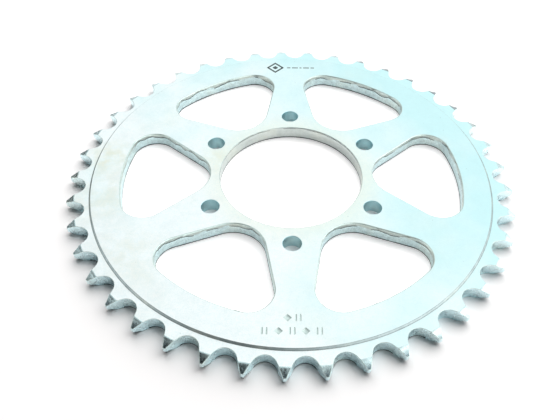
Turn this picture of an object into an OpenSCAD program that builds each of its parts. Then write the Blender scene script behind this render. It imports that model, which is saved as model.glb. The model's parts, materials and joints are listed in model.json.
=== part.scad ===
// Rear sprocket of a motorcycle: one zinc-plated steel plate, punched and machined.
// A raised centre plate carries the hub bore, six bolt holes and six lightening windows.
// Round it runs a slightly thinner toothed ring, with every tooth bevelled on both faces.
// Frame: millimetres, origin on the bore's axis at the flat back face, +Z towards the
// stepped front face, and +Y through the centre of the first bolt hole.

/* [Chain] */
// Number of teeth
teeth = 41; // [38:1:46]
// Pitch of the chain, pin to pin
chain_pitch = 15.875; // [15.5:0.025:16.25]
// Diameter of the chain's rollers
roller_d = 10.16; // [9.5:0.02:10.5]

/* [Teeth] */
// Thickness of the toothed ring
tooth_w = 6.1; // [5:0.1:6.2]
// Height of the tooth tips above the pitch circle
tooth_head = 3.5; // [3:0.1:3.8]
// Angle of the arc in which a roller sits
seat_angle = 122; // [120:0.5:126]
// Radial width of the bevel on each face of a tooth
bevel_w = 4; // [2:0.1:5]
// Depth of that bevel at the tip
bevel_depth = 1.85; // [1:0.05:2.2]
// Angle from the first bolt hole to the nearest tooth tip, towards -X
tooth_phase = 2.46; // [0:0.01:8.78]

/* [Plate] */
// Thickness of the raised centre plate
plate_t = 7.0; // [6.3:0.1:8]
// Width of the thinner ring between the tooth gaps and the raised plate
ring_w = 3.1; // [2:0.1:6]
// Width of the slope from the raised plate down to that ring
step_slope = 0.8; // [0.2:0.1:1.5]

/* [Hub] */
// Diameter of the hub bore
bore_d = 69; // [60:0.5:70]
// Number of bolt holes, and of windows between them
bolts = 6; // [6]
// Diameter of the circle of bolt holes
bolt_circle_d = 87; // [84:0.5:90]
// Diameter of a bolt hole
bolt_hole_d = 8.5; // [6:0.1:9]

/* [Windows] */
// Width of the rim between the windows and the bottoms of the tooth gaps
rim_w = 16; // [12:0.5:20]
// Distance from the bore's axis to the inner end of a window
window_inner = 39.1; // [38:0.1:44]
// Radius of a window's rounded inner end
nose_r = 15.8; // [13:0.1:16.5]
// Radius of a window's two outer corners
corner_r = 11.4; // [8:0.1:12]
// Angle from a window's centre line to the centre of its corner arc
corner_a = 14.2; // [12:0.1:15]

/* [Hidden] */
$fn = 120;

// How far a cutter runs past the faces it opens
over = 1;

// Circles of the teeth, as a roller chain sets them
pitch_r = chain_pitch / 2 / sin(180 / teeth);
root_r = pitch_r - roller_d / 2;
tip_r = pitch_r + tooth_head;
seat_r = 0.505 * roller_d;

// Radii that follow the tooth gaps inwards
step_r = root_r - ring_w;
window_r = root_r - rim_w;

// Point at a distance and an angle from the origin, the angle clockwise from +Y
function polar(r, a) = [r * sin(a), r * cos(a)];
function flip(p) = [-p.x, p.y];

// Tooth gap: where its flank leaves the roller seat, and a point past the tip
seat_c = [0, root_r + seat_r];
flank_in = seat_c + polar(seat_r, 180 - seat_angle / 2);
flank_out = flank_in + polar(2 * tooth_head + seat_r, 90 - seat_angle / 2);

// Window: arc centres, and the ends of the straight side that is tangent to both arcs
nose_c = [0, window_inner + nose_r];
corner_c = polar(window_r - corner_r, corner_a);
side = corner_c - nose_c;
side_a = atan2(side.x, side.y) + 90 - asin((nose_r - corner_r) / norm(side));
side_in = nose_c + polar(nose_r, side_a);
side_out = corner_c + polar(corner_r, side_a);
beyond = polar(1.2 * window_r, corner_a);

// Turned blank: a disc with the raised plate on its front and bevels at its edge
module blank() {
    rotate_extrude()
        polygon([
            [0, 0],
            [tip_r - bevel_w, 0],
            [tip_r, bevel_depth],
            [tip_r, tooth_w - bevel_depth],
            [tip_r - bevel_w, tooth_w],
            [step_r + step_slope, tooth_w],
            [step_r, plate_t],
            [0, plate_t]
        ]);
}

// One gap between two teeth, on the +Y side
module tooth_gap() {
    translate(seat_c)
        circle(r = seat_r);
    polygon([flank_in, flank_out, flip(flank_out), flip(flank_in)]);
}

// One window, on the +Y side: three round ends and the area between them
module window() {
    translate(nose_c)
        circle(r = nose_r);
    for (centre = [corner_c, flip(corner_c)])
        translate(centre)
            circle(r = corner_r);
    intersection() {
        circle(r = window_r);
        polygon([
            side_in, side_out, corner_c, beyond,
            flip(beyond), flip(corner_c), flip(side_out), flip(side_in)
        ]);
    }
}

// Stands a flat outline up through the whole plate as a cutter
module through() {
    translate([0, 0, -over])
        linear_extrude(plate_t + 2 * over)
            children();
}

module sprocket() {
    color([0.85, 0.93, 0.94])
        difference() {
            blank();
            through()
                circle(d = bore_d);
            for (i = [0 : bolts - 1]) {
                rotate(i * 360 / bolts)
                    through()
                        translate([0, bolt_circle_d / 2])
                            circle(d = bolt_hole_d);
                rotate((i + 0.5) * 360 / bolts)
                    through()
                        window();
            }
            for (i = [0 : teeth - 1])
                rotate(tooth_phase + (i + 0.5) * 360 / teeth)
                    through()
                        tooth_gap();
        }
}

sprocket();
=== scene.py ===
"""Rear sprocket: one zinc-plated steel plate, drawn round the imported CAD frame.

Lengths are in millimetres, as in the CAD source, and are multiplied by MM where Blender needs
metres. Only the floor's size, and the softbox's size and distance, are given in metres. Angles
are in degrees, clockwise from +Y as seen from the front face.
"""

import json
import math

import bpy
import numpy as np
from mathutils import Matrix, Vector, noise
from mathutils.geometry import delaunay_2d_cdt


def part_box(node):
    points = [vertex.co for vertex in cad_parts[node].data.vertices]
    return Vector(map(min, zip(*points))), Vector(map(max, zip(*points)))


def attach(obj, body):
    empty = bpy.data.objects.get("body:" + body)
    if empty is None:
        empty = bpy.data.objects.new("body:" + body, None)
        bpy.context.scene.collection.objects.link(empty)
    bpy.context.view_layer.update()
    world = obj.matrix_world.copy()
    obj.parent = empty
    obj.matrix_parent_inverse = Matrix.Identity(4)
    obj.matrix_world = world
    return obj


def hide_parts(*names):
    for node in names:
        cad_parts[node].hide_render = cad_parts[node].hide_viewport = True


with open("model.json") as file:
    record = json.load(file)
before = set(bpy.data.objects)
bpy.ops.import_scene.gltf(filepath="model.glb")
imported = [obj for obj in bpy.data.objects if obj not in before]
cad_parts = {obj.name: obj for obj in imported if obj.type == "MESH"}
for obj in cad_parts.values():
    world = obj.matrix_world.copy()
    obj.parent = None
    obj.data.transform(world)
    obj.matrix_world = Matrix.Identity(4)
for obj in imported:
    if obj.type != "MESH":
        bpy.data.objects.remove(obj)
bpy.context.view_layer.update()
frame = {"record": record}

MM = 0.001

# ---------------------------------------------------------------- dimensions

mounts = {m["name"]: m for m in frame["record"]["mounts"]}
high_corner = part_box("sprocket")[1]

PLATE_T = (high_corner / MM).z                       # thickness of the raised centre plate
BORE_R = mounts["bore"]["dims"]["r_mm"]
BOLTS = mounts["hub_bolts"]["dims"]["count"]
BOLT_CIRCLE_R = mounts["hub_bolts"]["dims"]["pcd_mm"] / 2
BOLT_HOLE_R = mounts["hub_bolts"]["dims"]["hole_r_mm"]

TEETH = 41
CHAIN_PITCH = 15.875
ROLLER_D = 10.16
SEAT_PER_ROLLER = 0.505                              # a gap's seat radius per roller diameter
SEAT_ANGLE = 122                                     # arc in which a roller sits
TOOTH_W = 6.1                                        # thickness of the toothed ring
TOOTH_HEAD = 3.5                                     # tip above the pitch circle
TOOTH_PHASE = -2.46                                  # angle of the first tooth tip
BEVEL_W = 4.0
BEVEL_DEPTH = 1.85
RING_W = 3.1                                         # from the tooth gaps to the step
STEP_SLOPE = 0.8                                     # width of the slope down to the ring
RIM_W = 16.0                                         # from the tooth gaps to the windows
WINDOW_INNER = 39.1
NOSE_R = 15.8                                        # a window's rounded inner end
CORNER_R = 11.4                                      # a window's outer corners
CORNER_A = 14.2

PITCH_R = CHAIN_PITCH / 2 / math.sin(math.pi / TEETH)
ROOT_R = PITCH_R - ROLLER_D / 2
TIP_R = PITCH_R + TOOTH_HEAD
SEAT_R = SEAT_PER_ROLLER * ROLLER_D
STEP_R = ROOT_R - RING_W
WINDOW_R = ROOT_R - RIM_W
BEVEL_R = TIP_R - BEVEL_W

# How far off true the windows were punched
PRESS_TURN = -0.48
PRESS_SHIFT = (0.3, 0.4)

# Sizes of the rounded edges, at the front and at the back
TOOTH_EDGES = (0.18, 0.25)
BORE_EDGES = (0.25, 0.35)
BOLT_HOLE_EDGES = (0.2, 0.25)
WINDOW_EDGES = (0.5, 0.35)
WINDOW_INSET = 0.9 * WINDOW_EDGES[0]                 # wall inside the CAD outline

# How many straight pieces each curve or side is cut into
WINDOW_TOP_STEPS = 42
CORNER_STEPS = 52
SIDE_STEPS = 40
NOSE_STEPS = 34
FLANK_STEPS = 11
SEAT_STEPS = 26
LAND_STEPS = 3
BORE_STEPS = 300
BOLT_HOLE_STEPS = 56
STEP_RING_STEPS = 720
SLOT_END_STEPS = 6

# ---------------------------------------------------------------- outlines


def direction(azimuth, elevation):
    """Unit vector, the azimuth clockwise from +Y."""
    a, e = math.radians(azimuth), math.radians(elevation)
    return Vector((math.cos(e) * math.sin(a), math.cos(e) * math.cos(a), math.sin(e)))


def polar(radius, angle):
    """The point at a radius and an angle."""
    a = math.radians(angle)
    return np.array([radius * math.sin(a), radius * math.cos(a)])


def turned(points, angle):
    """Points turned clockwise about the axis."""
    a = math.radians(angle)
    c, s = math.cos(a), math.sin(a)
    return np.asarray(points) @ np.array([[c, -s], [s, c]])


def arc(centre, radius, start, end, steps):
    """Points along an arc, both ends included."""
    return [np.asarray(centre) + polar(radius, a) for a in np.linspace(start, end, steps + 1)]


def straight(start, end, steps):
    """Points along a line, without its ends."""
    return [start + (end - start) * k / steps for k in range(1, steps)]


def circle(radius, steps, centre=(0, 0)):
    """A whole circle, clockwise. With four steps it is a diamond."""
    return np.array(arc(centre, radius, 0, 360, steps)[:-1])


def window_outline():
    """One window on the +Y side, clockwise: outer arc, two corners, two sides and the nose."""
    nose_c = np.array([0, WINDOW_INNER + NOSE_R])
    corner_c = polar(WINDOW_R - CORNER_R, CORNER_A)
    side = corner_c - nose_c
    lean = math.degrees(math.asin((NOSE_R - CORNER_R) / np.hypot(*side)))
    side_a = math.degrees(math.atan2(side[0], side[1])) + 90 - lean
    side_out = corner_c + polar(CORNER_R, side_a)
    side_in = nose_c + polar(NOSE_R, side_a)
    half = arc((0, 0), WINDOW_R, 0, CORNER_A, WINDOW_TOP_STEPS)
    half += arc(corner_c, CORNER_R, CORNER_A, side_a, CORNER_STEPS)[1:]
    half += straight(side_out, side_in, SIDE_STEPS)
    half += arc(nose_c, NOSE_R, side_a, 180, NOSE_STEPS)
    half = np.array(half)
    other = half[-2:0:-1] * [-1, 1]
    return np.concatenate([half, other])


def tooth_outline():
    """The whole toothed edge, anticlockwise."""
    seat_c = np.array([0, ROOT_R + SEAT_R])
    half_seat = SEAT_ANGLE / 2
    foot = seat_c + polar(SEAT_R, 180 - half_seat)
    run = polar(1, 90 - half_seat)
    along = foot @ run
    reach = -along + math.sqrt(along ** 2 - foot @ foot + TIP_R ** 2)
    tip = foot + run * reach
    right = [foot] + straight(foot, tip, FLANK_STEPS) + [tip]
    seat = arc(seat_c, SEAT_R, 180 - half_seat, 180 + half_seat, SEAT_STEPS)[1:-1]
    left = [p * [-1, 1] for p in right]
    gap = np.array(right[::-1] + seat + left)
    gap_edge = math.degrees(math.atan2(*tip))
    land = 360 / TEETH - 2 * gap_edge
    points = []
    for i in range(TEETH):
        middle = TOOTH_PHASE - (i + 0.5) * 360 / TEETH
        points.extend(turned(gap, middle))
        edge = middle - gap_edge
        points.extend(arc((0, 0), TIP_R, edge, edge - land, LAND_STEPS)[1:-1])
    return np.array(points)


def inward(points):
    """Mitre vectors of a closed outline, pointing into the metal, which is on its left.

    Points moved along them by an amount move every side by that amount, except at a corner
    sharper than the limit.
    """
    limit = 0.5
    ahead = np.roll(points, -1, 0) - points
    ahead /= np.linalg.norm(ahead, axis=1)[:, None]
    behind = np.roll(ahead, 1, 0)
    left_a = np.stack([-ahead[:, 1], ahead[:, 0]], 1)
    left_b = np.stack([-behind[:, 1], behind[:, 0]], 1)
    both = left_a + left_b
    both /= np.linalg.norm(both, axis=1)[:, None]
    return both / np.clip((both * left_a).sum(1), limit, 1)[:, None]


def contains(ring, points):
    """Which points lie inside a closed outline."""
    inside = np.zeros(len(points), bool)
    x, y = points[:, 0], points[:, 1]
    low, high = ring.min(0), ring.max(0)
    near = (x >= low[0]) & (x <= high[0]) & (y >= low[1]) & (y <= high[1])
    px, py = x[near], y[near]
    hit = np.zeros(near.sum(), bool)
    for (x0, y0), (x1, y1) in zip(ring, np.roll(ring, -1, 0)):
        if y0 == y1:
            continue
        crosses = (y0 > py) != (y1 > py)
        hit ^= crosses & (px < (x1 - x0) * (py - y0) / (y1 - y0) + x0)
    inside[near] = hit
    return inside


# ---------------------------------------------------------------- mesh building

# The materials' places in the list at the end of the materials section
(FACE, RING, BEVEL, CUT, TURNED, BURNISH, TORN, PAINTED_SHADE, HOLE, EDGE, STEP, SLOPE, MARK,
 PALE_MARK) = range(14)


class Builder:
    """Collects vertices and faces, each face with its material and its shading."""

    def __init__(self):
        self.points = []
        self.faces = []
        self.slots = []
        self.smooth = []

    def add_points(self, xy, z):
        """Adds points at one height, or at a height each, and returns their numbers."""
        first = len(self.points)
        heights = np.broadcast_to(z, len(xy))
        self.points.extend((float(p[0]), float(p[1]), float(h)) for p, h in zip(xy, heights))
        return np.arange(first, first + len(xy))

    def add_face(self, corners, slot, smooth):
        """Adds one face, its corners anticlockwise as seen from outside the metal."""
        self.faces.append(tuple(int(c) for c in corners))
        self.slots.append(slot)
        self.smooth.append(smooth)

    def strip(self, upper, lower, slot):
        """Quads between two rings of equal length, facing away from the metal."""
        slots = np.broadcast_to(slot, len(upper))
        for k in range(len(upper)):
            n = (k + 1) % len(upper)
            self.add_face((lower[k], lower[n], upper[n], upper[k]), slots[k], True)

    def sheet(self, outer, holes, look, extra=(), height=None, up=True):
        """Fills the area between an outer ring and its holes with triangles.

        look(p) gives the slot and the shading of the triangle round p. extra are more points to
        pass through, and height(p) gives their heights.
        """
        rings = [outer, *holes]
        loose = self.add_points(extra, [height(p) for p in extra])
        numbers = np.concatenate([*rings, loose])
        flat = np.array([self.points[n][:2] for n in numbers])
        edges = []
        start = 0
        for ring in rings:
            size = len(ring)
            edges += [(start + k, start + (k + 1) % size) for k in range(size)]
            start += size
        made = delaunay_2d_cdt([Vector(p) for p in flat], edges, [], 0, 1e-6)
        source = np.array([ids[0] for ids in made[3]])
        triangles = source[np.array(made[2])]
        middle = flat[triangles].mean(1)
        keep = np.ones(len(middle), bool)
        for k, ring in enumerate(rings):
            inside = contains(np.array([self.points[n][:2] for n in ring]), middle)
            keep &= inside if k == 0 else ~inside
        for triangle, centre in zip(triangles[keep], middle[keep]):
            a, b, c = flat[triangle]
            turn = (b[0] - a[0]) * (c[1] - a[1]) - (b[1] - a[1]) * (c[0] - a[0])
            corners = numbers[triangle]
            if (turn > 0) != up:
                corners = corners[::-1]
            self.add_face(corners, *look(centre))

    def to_object(self, name, materials):
        """Makes the Blender object, in metres."""
        mesh = bpy.data.meshes.new(name)
        mesh.from_pydata([tuple(c * MM for c in p) for p in self.points], [], self.faces)
        for material in materials:
            mesh.materials.append(material)
        mesh.polygons.foreach_set("material_index", self.slots)
        mesh.polygons.foreach_set("use_smooth", self.smooth)
        mesh.validate()
        mesh.update()
        obj = bpy.data.objects.new(name, mesh)
        bpy.context.scene.collection.objects.link(obj)
        return obj


def all_over(slot, smooth):
    """The same slot and shading for every triangle of a sheet."""
    return lambda p: (slot, smooth)


# ---------------------------------------------------------------- rough surfaces

# Layers of noise on the bevels: height, size and seed
BEVEL_GRAIN = ((0.07, 0.9, 0), (0.05, 0.45, 7))
BEVEL_GRAIN_FULL = 0.3                               # bevel depth at which they are full
BEVEL_START = 0.35                                   # share of the full slope where it starts
BEVEL_ROUNDING = 2                                   # distance in which a full slope builds up

# Rings of a cut or drilled wall: how many, and the shares of its height at which they start and
# that they span
WALL_RINGS = 5
WALL_START = 0.08
WALL_REACH = 0.8
WALL_NOISE_SPAN = 3                                  # from the first ring to the last
WALL_SEED = 3

EDGE_SHARES = (0.55, 0.2, 0.0)                       # rings of a rounded edge, towards the wall

# The crack in a torn wall stays between these heights
CRACK_LOWEST = 1.3
CRACK_HIGHEST = PLATE_T - 0.75
CRACK_LAP_R = 5                                      # circle in the noise that one lap follows
CRACK_JAGS = ((1.0, 1.7, 0), (0.6, 0.7, 5))          # strength, size and seed of its zigzag
JAG_SHARE = 0.2                                      # of the zigzag in the crack's drift

# How far the crack is open: on average, how strongly that varies, the size of the circle in the
# noise against that of the line, another seed, and the share from which it gets painted shade
OPEN_MEAN = 0.65
OPEN_SWING = 2.4
OPEN_LAP = 0.6
OPEN_SEED = 9
OPEN_DARK = 0.3

# The smooth part above the crack has one ring, this far above the middle of the part
SMOOTH_RISE = 0.3

# Rings across the crack, from its upper lip down: height above its line, share of its depth, and
# whether the strip that ends there can get painted shade
CRACK_PROFILE = ((0.24, 0.0, False), (0.14, 0.6, True), (0.0, 1.0, True),
                 (-0.2, 0.7, True), (-0.34, 0.1, True))

# Rings below the crack, as shares of the height between its foot and the back edge
TORN_SHARES = (0.75, 0.5, 0.25, 0.1)
TORN_TOP = 0.6                                       # below the crack's line
TORN_FOOT = 0.35                                     # above the back face

# Amount and size of the noise above the crack, at it and below it
SMOOTH_RIPPLE = (0.03, 1.5)
CRACK_RIPPLE = (0.035, 0.8)
TORN_RIPPLES = ((0.1, 1.3), (0.05, 0.5))


def rough(x, y, z, scale, seed):
    """Smooth noise from -1 to 1 with features about scale millimetres across."""
    return noise.noise(Vector((x / scale + seed, y / scale - seed, z / scale + 2 * seed)))


def ripple(outline, z, amount, scale, seed):
    """Noise of some amount at each point of an outline, at one height or at a height each."""
    return np.array([amount * rough(p[0], p[1], h, scale, seed)
                     for p, h in zip(outline, np.broadcast_to(z, len(outline)))])


def plate_top(p):
    """Height of the raised plate's front face."""
    return PLATE_T


def plate_bottom(p):
    """Height of the plate's back face."""
    return 0.0


def bevel_drop(radius):
    """How far the bevel has fallen below the ring's face."""
    past = max(radius - BEVEL_R, 0)
    return past * BEVEL_DEPTH / BEVEL_W * min(BEVEL_START + past / BEVEL_ROUNDING, 1)


def ring_top(p):
    """Height of the toothed ring's front face, with its rough bevels."""
    drop = bevel_drop(math.hypot(*p))
    grain = sum(height * rough(p[0], p[1], 0, size, seed) for height, size, seed in BEVEL_GRAIN)
    return TOOTH_W - drop + grain * min(drop / BEVEL_GRAIN_FULL, 1)


def ring_bottom(p):
    """Height of the toothed ring's back face, which mirrors the front one."""
    return TOOTH_W - ring_top(p)


def edge_rings(build, outline, surfaces, sizes, edge, foot, middle):
    """Builds a wall with rounded edges round an outline, from the front face to the back.

    surfaces and sizes are the two faces' heights and the two edges' sizes, front first. edge and
    foot are the edges' slots. middle(outline, top_z, bottom_z) gives the wall's own rings as
    (offset into the metal, z, slot). Returns the rings at which the two faces start.
    """
    normals = inward(outline)

    def ring(offset, z):
        return build.add_points(outline + normals * np.reshape(offset, (-1, 1)), z)

    def rounded(surface, size, sign):
        heights = np.array([surface(p) for p in outline + normals * size])
        rings = [ring(size, heights)]
        for share in EDGE_SHARES:
            sunk = size * (1 - math.sqrt(1 - (1 - share) ** 2))
            rings.append(ring(size * share, heights + sign * sunk))
        return rings, heights

    upper, top_z = rounded(surfaces[0], sizes[0], -1)
    lower, bottom_z = rounded(surfaces[1], sizes[1], 1)
    wall = [(ring(offset, z), slot) for offset, z, slot in middle(outline, top_z, bottom_z)]
    rings = [(r, edge) for r in upper] + wall + [(r, foot) for r in lower[::-1]]
    for (above, _), (below, slot) in zip(rings, rings[1:]):
        build.strip(above, below, slot)
    return upper[0], lower[0]


def plain_wall(slot, waver, scale):
    """A cut or drilled wall: evenly spaced rings that waver slightly."""

    def middle(outline, top_z, bottom_z):
        rings = []
        for k in range(WALL_RINGS):
            share = k / (WALL_RINGS - 1)
            z = top_z + (bottom_z - top_z) * (WALL_START + WALL_REACH * share)
            offset = ripple(outline, share * WALL_NOISE_SPAN, waver, scale, WALL_SEED)
            rings.append((offset, z, slot))
        return rings

    return middle


def crack_shape(outline, seed, height, drift):
    """The height of a crack at each point of a wall, and how far it is open, from 0 to 1.

    Both follow noise along a circle, so they meet where the outline closes.
    """
    pieces = np.linalg.norm(np.roll(outline, -1, 0) - outline, axis=1)
    total = pieces.sum()
    along = np.concatenate([[0], np.cumsum(pieces)[:-1]])
    heights = np.zeros(len(outline))
    opening = np.zeros(len(outline))
    for k, distance in enumerate(along):
        angle = 2 * math.pi * distance / total
        x, y = CRACK_LAP_R * math.cos(angle), CRACK_LAP_R * math.sin(angle)
        sway = noise.noise(Vector((x, y, seed)))
        jag = sum(strength * rough(*outline[k], seed, size, jag_seed)
                  for strength, size, jag_seed in CRACK_JAGS)
        heights[k] = height + drift * (sway + JAG_SHARE * jag)
        shown = noise.noise(Vector((x * OPEN_LAP, y * OPEN_LAP, seed + OPEN_SEED)))
        opening[k] = min(max(OPEN_MEAN + OPEN_SWING * shown, 0.0), 1.0)
    return np.clip(heights, CRACK_LOWEST, CRACK_HIGHEST), opening


def torn_wall(seed, height, drift, depth, spread, tear, smooth, below):
    """A wall with a ragged crack along it.

    The crack runs at about a height and drifts from it. It has a depth, it gapes by its spread
    times the profile, and the metal below it is torn back by an amount. smooth and below are the
    slots above and below the crack.
    """

    def middle(outline, top_z, bottom_z):
        crack, opening = crack_shape(outline, seed, height, drift)
        cut = depth * opening
        # Where the crack is open far enough, its strips get painted shade: near black, for the
        # shade in it
        dark = np.where(cut > OPEN_DARK * depth, PAINTED_SHADE, below)
        between = (crack + top_z) / 2 + SMOOTH_RISE
        rings = [(ripple(outline, PLATE_T, *SMOOTH_RIPPLE, seed), between, smooth)]
        for rise, share, is_open in CRACK_PROFILE:
            z = crack + rise * spread
            wave = ripple(outline, z, *CRACK_RIPPLE, seed)
            back = cut * share + wave + (tear if rise < 0 else 0)
            rings.append((back, z, dark if is_open else smooth))
        for share in TORN_SHARES:
            z = bottom_z + TORN_FOOT + (crack - TORN_TOP - bottom_z - TORN_FOOT) * share
            back = sum((ripple(outline, z, *layer, seed) for layer in TORN_RIPPLES), tear)
            rings.append((back, z, below))
        return rings

    return middle


# ---------------------------------------------------------------- toothed edge, bore and holes

# The back edge deep in the tooth gaps of one side gets painted shade, a painted contact shadow
# where the wall meets the floor: the azimuth of that side, how far towards it they lie at least,
# and how high above the gaps' bottoms the painted shade reaches
DARK_FOOT = (200, 60, 3)


def cut_teeth(build):
    """The toothed edge."""
    outline = tooth_outline()
    azimuth, distance, height = DARK_FOOT
    deep = np.hypot(*outline.T) < ROOT_R + height
    that_side = outline @ np.array(direction(azimuth, 0).xy) > distance
    # Painted shade at the back edge deep in those gaps, plain cut wall elsewhere
    foot = np.where(deep & that_side, PAINTED_SHADE, CUT)
    return edge_rings(build, outline, (ring_top, ring_bottom), TOOTH_EDGES, EDGE, foot,
                      plain_wall(CUT, 0.02, 1.5))


def cut_bore(build):
    """The bore: turned smooth, with one shallow line close to its front edge."""
    # The shallow line, where it is open, and the back edge get painted shade
    wall = torn_wall(seed=41.0, height=CRACK_HIGHEST, drift=0.1, depth=0.05, spread=0.45,
                     tear=0.0, smooth=TURNED, below=TURNED)
    return edge_rings(build, circle(BORE_R, BORE_STEPS), (plate_top, plate_bottom), BORE_EDGES,
                      EDGE, PAINTED_SHADE, wall)


def drill_bolt_hole(build, number):
    """One bolt hole."""
    centre = polar(BOLT_CIRCLE_R, number * 360 / BOLTS)
    return edge_rings(build, circle(BOLT_HOLE_R, BOLT_HOLE_STEPS, centre),
                      (plate_top, plate_bottom), BOLT_HOLE_EDGES, HOLE, HOLE,
                      plain_wall(HOLE, 0.01, 1.0))


def punch_window(build, number):
    """One window: smooth below its front edge, then a crack and a torn band."""
    angle = (number + 0.5) * 360 / BOLTS + PRESS_TURN
    outline = turned(window_outline(), angle) + PRESS_SHIFT
    outline -= inward(outline) * WINDOW_INSET
    # The crack, where it is open, and the back edge get painted shade
    wall = torn_wall(seed=3.7 * number + 1.0, height=PLATE_T - 1.9, drift=1.3, depth=0.18,
                     spread=0.95, tear=0.12, smooth=BURNISH, below=TORN)
    return edge_rings(build, outline, (plate_top, plate_bottom), WINDOW_EDGES, EDGE, PAINTED_SHADE, wall)


# ---------------------------------------------------------------- marks on the face

# Punched marks: two rows, with a pair of bars or a diamond at each place
LONG_ROW_Y = -87.9
LONG_ROW_X = (-11.7, -6.0, -0.6, 4.8, 10.2)
SHORT_ROW_Y = -81.8
SHORT_ROW_DIAMOND_X = -2.4
SHORT_ROW_BARS_X = 1.9
PUNCH_DIAMOND_R = 1.8
PUNCH_BAR_LENGTH = 3.4
PUNCH_BAR_WIDTH = 0.75
PUNCH_BAR_OFFSET = 0.9                               # of each bar from the middle of its pair
PUNCH_DEPTH = 0.25
PUNCH_SLOPE = 0.2                                    # how far a pit's side leans in

# Laser marks: nested diamonds, and a row of bars of unequal length
LASER_Y = 87.1
LASER_DIAMOND_X = -7.9
LASER_DIAMONDS = (5.0, 3.5, 1.7)
LASER_BARS_X = -1.2
LASER_BARS = (2.0, 3.4, 1.2, 3.4, 2.0)
LASER_BAR_GAP = 0.9
LASER_BAR_HALF = 0.55


def punched_diamond(x, y):
    """One diamond, clockwise."""
    return [circle(PUNCH_DIAMOND_R, 4, (x, y))]


def punched_bars(x, y):
    """Two round-ended bars side by side, clockwise."""
    radius = PUNCH_BAR_WIDTH / 2
    reach = PUNCH_BAR_LENGTH / 2 - radius
    bars = []
    for middle in (x - PUNCH_BAR_OFFSET, x + PUNCH_BAR_OFFSET):
        ends = arc((middle, y + reach), radius, -90, 90, SLOT_END_STEPS)
        ends += arc((middle, y - reach), radius, 90, 270, SLOT_END_STEPS)
        bars.append(np.array(ends))
    return bars


def punch_marks(build):
    """Shallow pits with their own floors. Returns their rims."""
    shapes = []
    for k, x in enumerate(LONG_ROW_X):
        shapes += punched_diamond(x, LONG_ROW_Y) if k % 2 else punched_bars(x, LONG_ROW_Y)
    shapes += punched_diamond(SHORT_ROW_DIAMOND_X, SHORT_ROW_Y)
    shapes += punched_bars(SHORT_ROW_BARS_X, SHORT_ROW_Y)
    rims = []
    for shape in shapes:
        rim = build.add_points(shape, PLATE_T)
        floor = build.add_points(shape - inward(shape) * PUNCH_SLOPE, PLATE_T - PUNCH_DEPTH)
        # The pits' sides and floors take the darker edge colour, as painted shade in the pits
        build.strip(rim, floor, EDGE)
        build.sheet(floor, [], all_over(EDGE, True))
        rims.append(rim)
    return rims


def laser_marks(build):
    """Burnt areas of the face: a diamond frame round a small diamond, then bars.

    Returns their outer rings.
    """
    nested = [build.add_points(circle(radius, 4, (LASER_DIAMOND_X, LASER_Y)), PLATE_T)
              for radius in LASER_DIAMONDS]
    build.sheet(nested[0], [nested[1]], all_over(MARK, False))
    build.sheet(nested[1], [nested[2]], all_over(FACE, False))
    build.sheet(nested[2], [], all_over(MARK, False))
    outlines = [nested[0]]
    top, bottom = LASER_Y + LASER_BAR_HALF, LASER_Y - LASER_BAR_HALF
    x = LASER_BARS_X
    for length in LASER_BARS:
        corners = np.array([(x, top), (x + length, top), (x + length, bottom), (x, bottom)])
        bar = build.add_points(corners, PLATE_T)
        build.sheet(bar, [], all_over(PALE_MARK, False))
        outlines.append(bar)
        x += length + LASER_BAR_GAP
    return outlines


# ---------------------------------------------------------------- step, ring and bevels

# Rings down the step: distance out from its top, height, and the slot of the strip below
# Its strips are coloured far darker than the face, as painted shade along the step
STEP_PROFILE = ((0.0, PLATE_T, STEP),
                (0.14, PLATE_T - 0.08, SLOPE),
                (STEP_SLOPE - 0.16, TOOTH_W + 0.2, STEP),
                (STEP_SLOPE, TOOTH_W + 0.05, STEP),
                (STEP_SLOPE + 0.12, TOOTH_W, None))
STEP_WAVER = (0.05, 6.0)                             # amount and size

# Circles of points that carry the bevels' roughness, as distances out from where they start
BEVEL_CIRCLES = (-0.2, 0.05, 0.45, 1.0, 1.6, 2.2, 2.8, 3.3)
BEVEL_SPACING = 0.45
BEVEL_MARGIN = 0.15                                  # of the bevels' finish, inside their start


def turn_step(build):
    """The step from the raised plate down to the ring. Returns its top and bottom rings."""
    round_step = circle(STEP_R, STEP_RING_STEPS)[::-1]
    rings = []
    for out, z, _ in STEP_PROFILE:
        wave = ripple(round_step, z, *STEP_WAVER, 0.0)
        rings.append(build.add_points(round_step * (1 + (out + wave)[:, None] / STEP_R), z))
    for above, below, (_, _, slot) in zip(rings, rings[1:], STEP_PROFILE):
        build.strip(above, below, slot)
    return rings[0], rings[-1]


def bevel_points():
    """Points over the bevels of all teeth, close enough together to carry their roughness."""
    half_seat = math.radians(SEAT_ANGLE / 2)
    foot_x = SEAT_R * math.sin(half_seat)
    foot_y = ROOT_R + SEAT_R - SEAT_R * math.cos(half_seat)
    points = []
    for out in BEVEL_CIRCLES:
        radius = BEVEL_R + out
        half_gap = foot_x + (radius - foot_y) * math.tan(math.pi / 2 - half_seat)
        room = 180 / TEETH - math.degrees((half_gap + BEVEL_SPACING) / radius)
        count = int(math.radians(2 * room) * radius / BEVEL_SPACING)
        for i in range(TEETH):
            for k in range(count + 1):
                angle = TOOTH_PHASE + i * 360 / TEETH + (2 * k / count - 1) * room
                points.append(polar(radius, angle))
    return points


def ring_look(p):
    """The slot and shading of the toothed ring: bevels outside, flat face inside."""
    return (BEVEL, True) if math.hypot(*p) > BEVEL_R - BEVEL_MARGIN else (RING, False)


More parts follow.
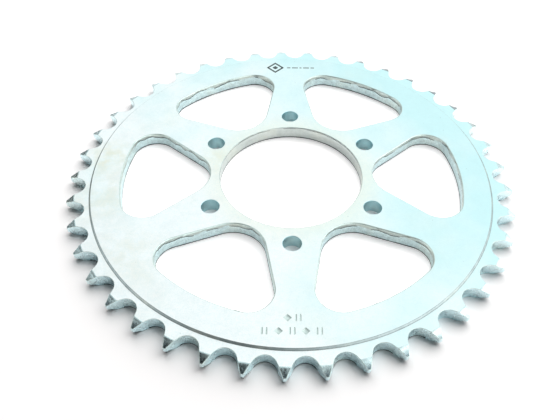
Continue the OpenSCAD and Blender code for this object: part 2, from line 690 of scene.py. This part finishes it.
def build_sprocket(materials):
    """The whole plate, as one closed mesh."""
    build = Builder()
    teeth_top, teeth_bottom = cut_teeth(build)
    holes = [cut_bore(build)]
    holes += [drill_bolt_hole(build, i) for i in range(BOLTS)]
    holes += [punch_window(build, i) for i in range(BOLTS)]
    top_holes = [top for top, _ in holes]
    bottom_holes = [bottom for _, bottom in holes]
    marks = punch_marks(build) + laser_marks(build)
    step_top, step_foot = turn_step(build)
    build.sheet(step_top, top_holes + marks, all_over(FACE, False))
    grain = bevel_points()
    build.sheet(teeth_top, [step_foot], ring_look, grain, ring_top)
    build.sheet(teeth_bottom, bottom_holes, ring_look, grain, ring_bottom, up=False)
    return build.to_object("sprocket_plate", materials)


# ---------------------------------------------------------------- materials

# Colours of the plating
CYAN = (0.48, 0.70, 0.71)
WHITE = (0.735, 0.78, 0.775)
STRAW = (0.67, 0.69, 0.58)
PALE_STRAW = (0.74, 0.76, 0.64)
GREY_CYAN = (0.43, 0.61, 0.63)
DARK_SPECK = (0.25, 0.36, 0.36)

# Centre, size and strength of each straw-coloured stain on the face
STAINS = ((-91, 11, 15, 0.9), (-88, -15, 20, 0.5), (-72, -50, 22, 0.35), (-36, 10, 11, 0.7))
PITTED = (83, 2)                                     # middle of a patch with more dark specks
SPECK_CELL = 3.2                                     # size of the cells that can hold a speck
SPECK_SHADE = 0.25                                   # of a wall's specks, times its own colour


def rgb(colour, scale=1.0):
    """A shader colour, lighter or darker by a factor."""
    return (*[c * scale for c in colour], 1.0)


class Nodes:
    """Short calls for building one material's nodes."""

    def __init__(self, name):
        self.material = bpy.data.materials.new(name)
        self.material.use_nodes = True
        self.tree = self.material.node_tree
        self.shader = self.tree.nodes["Principled BSDF"]
        self.place = self.node("ShaderNodeTexCoord").outputs["Object"]

    def node(self, kind, **settings):
        """A new node with some of its settings."""
        made = self.tree.nodes.new(kind)
        for key, value in settings.items():
            setattr(made, key, value)
        return made

    def link(self, source, target):
        """Links an output to an input, or sets the input to a plain value."""
        if isinstance(source, bpy.types.NodeSocket):
            self.tree.links.new(source, target)
        else:
            target.default_value = source

    def noise(self, size, detail=3.0, roughness=0.55):
        """Noise with features about size millimetres across, from 0 to 1."""
        made = self.node("ShaderNodeTexNoise")
        made.inputs["Scale"].default_value = 1 / (size * MM)
        made.inputs["Detail"].default_value = detail
        made.inputs["Roughness"].default_value = roughness
        self.link(self.place, made.inputs["Vector"])
        return made.outputs["Fac"]

    def span(self, value, low, high, to_low=0.0, to_high=1.0):
        """Maps a range of a value to another range, held at its ends."""
        made = self.node("ShaderNodeMapRange", clamp=True)
        for name, number in zip(("From Min", "From Max", "To Min", "To Max"),
                                (low, high, to_low, to_high)):
            made.inputs[name].default_value = number
        self.link(value, made.inputs["Value"])
        return made.outputs["Result"]

    def math(self, operation, a, b):
        """Two values combined by an operation."""
        made = self.node("ShaderNodeMath", operation=operation)
        self.link(a, made.inputs[0])
        self.link(b, made.inputs[1])
        return made.outputs[0]

    def mix(self, share, a, b, blend="MIX"):
        """Two colours mixed. The node has them at sockets 6 and 7, and its result at 2."""
        made = self.node("ShaderNodeMix", data_type="RGBA", blend_type=blend)
        self.link(share, made.inputs["Factor"])
        self.link(a, made.inputs[6])
        self.link(b, made.inputs[7])
        return made.outputs[2]

    def bump(self, height, distance, strength, under=None):
        """A bumped normal, on top of another one if there is one under it."""
        made = self.node("ShaderNodeBump")
        made.inputs["Strength"].default_value = strength
        made.inputs["Distance"].default_value = distance * MM
        self.link(height, made.inputs["Height"])
        if under is not None:
            self.link(under, made.inputs["Normal"])
        return made.outputs["Normal"]

    def towards(self, azimuth):
        """How far a point lies in a direction from the axis, in metres."""
        made = self.node("ShaderNodeVectorMath", operation="DOT_PRODUCT")
        self.link(self.place, made.inputs[0])
        made.inputs[1].default_value = direction(azimuth, 0)
        return made.outputs["Value"]

    def away(self, x, y, z):
        """Distance in metres from a point given in millimetres."""
        made = self.node("ShaderNodeVectorMath", operation="DISTANCE")
        self.link(self.place, made.inputs[0])
        made.inputs[1].default_value = (x * MM, y * MM, z * MM)
        return made.outputs["Value"]

    def radius(self):
        """Distance in metres from the axis."""
        flat = self.node("ShaderNodeVectorMath", operation="MULTIPLY")
        self.link(self.place, flat.inputs[0])
        flat.inputs[1].default_value = (1, 1, 0)
        length = self.node("ShaderNodeVectorMath", operation="LENGTH")
        self.link(flat.outputs["Vector"], length.inputs[0])
        return length.outputs["Value"]


def cyan_share(n):
    """How cyan the face is: in clouds, more towards azimuth 60 and less round the bore."""
    across = n.span(n.towards(60), -60 * MM, 80 * MM)
    clouds = n.span(n.noise(38, 2.0), 0.3, 0.7, -0.3, 0.3)
    share = n.math("ADD", across, clouds)
    share = n.math("MULTIPLY", share, n.span(n.radius(), 40 * MM, 80 * MM, 0.6, 1.0))
    return n.span(share, 0.1, 0.9)


def straw_share(n):
    """How straw-coloured the face is: in faint clouds, and in the placed stains."""
    share = n.span(n.noise(24, 4.0), 0.52, 0.8, 0.0, 0.25)
    for x, y, size, strength in STAINS:
        spot = n.span(n.away(x, y, PLATE_T), 0.2 * size * MM, size * MM, 1.0, 0.0)
        spot = n.math("MULTIPLY", spot, n.span(n.noise(5, 4.0), 0.35, 0.6))
        share = n.math("ADD", share, n.math("MULTIPLY", spot, strength))
    return n.span(share, 0.0, 1.0)


def speck_share(n):
    """Small round dark specks, at most one in each cell, and more of them round PITTED."""
    cells = n.node("ShaderNodeTexVoronoi", feature="F1")
    cells.inputs["Scale"].default_value = 1 / (SPECK_CELL * MM)
    n.link(n.place, cells.inputs["Vector"])
    dot = n.math("LESS_THAN", cells.outputs["Distance"], 0.075)
    chance = n.node("ShaderNodeSeparateColor")
    n.link(cells.outputs["Color"], chance.inputs[0])
    crowd = n.span(n.away(*PITTED, PLATE_T), 4 * MM, 16 * MM, 0.45, 0.08)
    dot = n.math("MULTIPLY", dot, n.math("LESS_THAN", chance.outputs[0], crowd))
    return n.math("MULTIPLY", dot, 0.55)


def zinc_face(name, lightness=1.0, turned_rings=False):
    """Bright zinc on the flat faces. turned_rings adds fine grooves round the axis."""
    n = Nodes(name)
    base = n.mix(cyan_share(n), rgb(WHITE, lightness), rgb(CYAN, lightness))
    base = n.mix(straw_share(n), base, rgb(STRAW, lightness))
    hub = n.span(n.radius(), 36 * MM, 47 * MM, 0.45, 0.0)
    base = n.mix(hub, base, rgb(STRAW, lightness))
    mottle = n.span(n.noise(1.6, 5.0, 0.65), 0.35, 0.7, 0.0, 0.22)
    base = n.mix(mottle, base, rgb(GREY_CYAN, lightness))
    grain = n.span(n.noise(0.5, 2.0), 0.45, 0.7, 0.0, 0.25)
    base = n.mix(grain, base, rgb(GREY_CYAN, lightness))
    base = n.mix(speck_share(n), base, rgb(DARK_SPECK))
    n.link(base, n.shader.inputs["Base Color"])
    n.shader.inputs["Metallic"].default_value = 1.0
    n.link(n.span(n.noise(5, 5.0), 0.3, 0.7, 0.34, 0.46), n.shader.inputs["Roughness"])
    normal = n.bump(n.noise(9, 2.0), 0.05, 0.5)
    normal = n.bump(n.noise(0.55, 4.0, 0.6), 0.012, 0.5, normal)
    if turned_rings:
        spacing = 0.35 * MM
        grooves = n.math("SINE", n.math("MULTIPLY", n.radius(), 2 * math.pi / spacing), 0.0)
        normal = n.bump(grooves, 0.004, 0.5, normal)
    n.link(normal, n.shader.inputs["Normal"])
    return n.material


def darkened_bevels(n):
    """Where the bevels darken and get dark specks: on the tips of the -Y teeth, and on the +X +Y
    side.
    """
    back = n.span(n.towards(42), 90 * MM, 100 * MM, 0.0, 0.9)
    tip = n.span(n.radius(), (TIP_R - 2.9) * MM, (TIP_R - 0.6) * MM)
    front = n.span(n.towards(188), 60 * MM, 88 * MM)
    return n.math("MAXIMUM", back, n.math("MULTIPLY", tip, front))


def zinc_wall(name, colour, roughness, grain, blotch=0.6, speckle=0.0, darkest=1.0, where=None):
    """Zinc on cut or torn surfaces, with dark specks of a strength.

    where(nodes) limits the specks to some places, and those places darken to the share darkest.
    """
    n = Nodes(name)
    dull = rgb(colour, 1 - 0.4 * blotch)
    base = n.mix(n.span(n.noise(2.4, 4.0), 0.35, 0.7), rgb(colour), dull)
    base = n.mix(n.span(n.noise(11, 2.0), 0.5, 0.75, 0.0, 0.3), base, rgb(PALE_STRAW))
    darkening = where(n) if where else 1.0
    if speckle:
        specks = n.span(n.noise(0.55, 3.0, 0.7), 0.52, 0.62, 0.0, speckle)
        base = n.mix(n.math("MULTIPLY", darkening, specks), base, rgb(colour, SPECK_SHADE))
    if where:
        base = n.mix(darkening, base, rgb((0.95, 1.0, 1.07), darkest), "MULTIPLY")
    n.link(base, n.shader.inputs["Base Color"])
    n.shader.inputs["Metallic"].default_value = 1.0
    n.link(n.span(n.noise(1.5, 4.0), 0.3, 0.7, roughness - 0.07, roughness + 0.1),
           n.shader.inputs["Roughness"])
    n.link(n.bump(n.noise(0.5, 4.0, 0.65), grain, 0.7), n.shader.inputs["Normal"])
    return n.material


def burnt_mark(name, colour, roughness):
    """The finish that a laser leaves on zinc."""
    n = Nodes(name)
    cloud = n.span(n.noise(0.5, 3.0), 0.4, 0.7, 0.0, 0.6)
    n.link(n.mix(cloud, rgb(colour), rgb(colour, 1.8)), n.shader.inputs["Base Color"])
    n.shader.inputs["Metallic"].default_value = 0.35
    n.link(n.span(n.noise(0.7), 0.3, 0.7, roughness - 0.08, roughness + 0.08),
           n.shader.inputs["Roughness"])
    n.link(n.bump(n.noise(0.3, 3.0), 0.02, 0.6), n.shader.inputs["Normal"])
    return n.material


# In the order of the slots, from FACE to PALE_MARK. A wall has its colour, roughness and grain,
# then how blotchy and how speckled it is.
materials = [
    zinc_face("zinc_face"),
    zinc_face("zinc_turned_ring", 1.02, turned_rings=True),
    zinc_wall("zinc_filed_bevel", (0.52, 0.67, 0.68), 0.25, 0.1, 0.7, 0.3, 0.3, darkened_bevels),
    zinc_wall("zinc_cut_wall", (0.78, 0.97, 1.0), 0.28, 0.02, 0.2),
    zinc_wall("zinc_turned_wall", (0.50, 0.55, 0.53), 0.38, 0.03, 0.3, 0.1),
    zinc_wall("zinc_burnished_wall", (0.46, 0.53, 0.50), 0.38, 0.04, 0.5, 0.3),
    zinc_wall("zinc_torn_wall", (0.57, 0.71, 0.72), 0.5, 0.08, 0.5, 0.35),
    # Painted shade: near black, on open cracks and on back edges where walls meet the floor
    zinc_wall("zinc_painted_shade", (0.1, 0.12, 0.125), 0.6, 0.05),
    zinc_wall("zinc_drilled_wall", (0.49, 0.71, 0.74), 0.4, 0.02, 0.3),
    # Rounded front edges and punched pits: darker than the face, as painted shade on them
    zinc_wall("zinc_rolled_edge", (0.52, 0.63, 0.60), 0.4, 0.02, 0.3, 0.2),
    # The step and its slope: far darker than the face, as painted shade along the step
    zinc_wall("zinc_turned_step", (0.24, 0.29, 0.285), 0.45, 0.03, 0.4, 0.3),
    zinc_wall("zinc_turned_slope", (0.32, 0.38, 0.38), 0.45, 0.03, 0.4),
    burnt_mark("laser_dark", (0.03, 0.045, 0.045), 0.6),
    burnt_mark("laser_grey", (0.12, 0.16, 0.16), 0.55),
]
sprocket = build_sprocket(materials)
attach(sprocket, "root")
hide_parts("sprocket")

# ---------------------------------------------------------------- floor, light and camera

FLOOR_HALF = 3.0                                     # metres
FLOOR_DROP = 0.02                                    # of the floor below the plate's back face

# The floor's own light: its strength, the radius to which it is full, the width over which it
# fades out, and how much of it is left under the bolt holes
GLOW = 0.5
GLOW_R = 86
GLOW_FADE = 14
GLOW_UNDER_HOLES = 0.4

# Azimuth and elevation of each bright part of the sky, the cosines at which it starts and is
# full, and its strength
SKY_LOBES = ((25, 42, 0.3, 0.85, 1.42), (120, 6, 0.3, 0.95, 2.8), (-98, 2, 0.7, 0.98, 2.2))
SKY_DARK = 0.03
SKY_COLOUR = (0.98, 0.99, 1.0)

SOFTBOX_PLACE = (25, 45)                             # azimuth and elevation
SOFTBOX_DISTANCE = 1.5                               # metres
SOFTBOX_SIZE = (2.8, 2.4)                            # metres
SOFTBOX_POWER = 93                                   # watts
SOFTBOX_COLOUR = (1.0, 0.99, 0.98)

CAMERA_PLACE = (-8.05, -221.5, 218.4 + PLATE_T)
CAMERA_TARGET = (-5.35, -23.75, PLATE_T)
CAMERA_ROLL = 0.963
LENS = 41.07
SENSOR_WIDTH = 36
CLIP_START = 10


def build_floor():
    """A white floor that gives off light under the sprocket, to keep its windows bright."""
    mesh = bpy.data.meshes.new("floor")
    corners = [(x * FLOOR_HALF, y * FLOOR_HALF, 0) for x, y in ((-1, -1), (1, -1), (1, 1), (-1, 1))]
    mesh.from_pydata(corners, [], [(0, 1, 2, 3)])
    floor = bpy.data.objects.new("floor", mesh)
    floor.location.z = -FLOOR_DROP * MM
    bpy.context.scene.collection.objects.link(floor)
    n = Nodes("floor_white")
    n.shader.inputs["Base Color"].default_value = rgb((0.76, 0.755, 0.76))
    n.shader.inputs["Roughness"].default_value = 0.8
    n.shader.inputs["Specular IOR Level"].default_value = 0.2
    n.shader.inputs["Emission Color"].default_value = rgb((1, 1, 1))
    glow = n.span(n.radius(), GLOW_R * MM, (GLOW_R + GLOW_FADE) * MM, GLOW, 0.0)
    dim_to, full_from = 1.2 * BOLT_HOLE_R * MM, 1.6 * BOLT_HOLE_R * MM
    for i in range(BOLTS):
        off_hole = n.away(*polar(BOLT_CIRCLE_R, i * 360 / BOLTS), 0)
        left = n.span(off_hole, dim_to, full_from, GLOW_UNDER_HOLES, 1.0)
        glow = n.math("MULTIPLY", glow, left)
    n.link(glow, n.shader.inputs["Emission Strength"])
    mesh.materials.append(n.material)


def build_sky():
    """A sky that reflections and the camera see, and that gives no diffuse light.

    It is bright high behind the sprocket and low at both sides, and dark elsewhere.
    """
    world = bpy.data.worlds.new("studio")
    bpy.context.scene.world = world
    world.use_nodes = True
    tree = world.node_tree
    place = tree.nodes.new("ShaderNodeTexCoord")
    total = None
    for azimuth, elevation, start, full, strength in SKY_LOBES:
        facing = tree.nodes.new("ShaderNodeVectorMath")
        facing.operation = "DOT_PRODUCT"
        facing.inputs[1].default_value = direction(azimuth, elevation)
        tree.links.new(place.outputs["Generated"], facing.inputs[0])
        lobe = tree.nodes.new("ShaderNodeMapRange")
        lobe.interpolation_type = "SMOOTHSTEP"
        for name, number in (("From Min", start), ("From Max", full),
                             ("To Min", 0.0), ("To Max", strength)):
            lobe.inputs[name].default_value = number
        tree.links.new(facing.outputs["Value"], lobe.inputs["Value"])
        add = tree.nodes.new("ShaderNodeMath")
        add.operation = "ADD"
        add.inputs[0].default_value = SKY_DARK
        if total is not None:
            tree.links.new(total, add.inputs[0])
        tree.links.new(lobe.outputs["Result"], add.inputs[1])
        total = add.outputs[0]
    world.cycles_visibility.diffuse = False
    background = tree.nodes["Background"]
    background.inputs["Color"].default_value = rgb(SKY_COLOUR)
    tree.links.new(total, background.inputs["Strength"])


def build_softbox():
    """One large soft light high behind the sprocket, aimed at it and not seen in reflections."""
    light = bpy.data.lights.new("back", "AREA")
    light.shape = "RECTANGLE"
    light.size, light.size_y = SOFTBOX_SIZE
    light.energy = SOFTBOX_POWER
    light.color = SOFTBOX_COLOUR
    box = bpy.data.objects.new("back", light)
    box.location = direction(*SOFTBOX_PLACE) * SOFTBOX_DISTANCE
    box.rotation_euler = (-box.location).to_track_quat("-Z", "Y").to_euler()
    box.visible_glossy = False
    bpy.context.scene.collection.objects.link(box)


def build_camera():
    """The camera looks down at the front face from the -Y side."""
    place = Vector(CAMERA_PLACE) * MM
    target = Vector(CAMERA_TARGET) * MM
    data = bpy.data.cameras.new("camera")
    data.lens = LENS
    data.sensor_width = SENSOR_WIDTH
    data.clip_start = CLIP_START * MM
    camera = bpy.data.objects.new("camera", data)
    aim = (target - place).to_track_quat("-Z", "Y").to_matrix()
    turn = aim @ Matrix.Rotation(math.radians(CAMERA_ROLL), 3, "Z")
    camera.matrix_world = Matrix.Translation(place) @ turn.to_4x4()
    bpy.context.scene.collection.objects.link(camera)
    bpy.context.scene.camera = camera


build_floor()
build_sky()
build_softbox()
build_camera()
bpy.context.scene.view_settings.view_transform = "Standard"
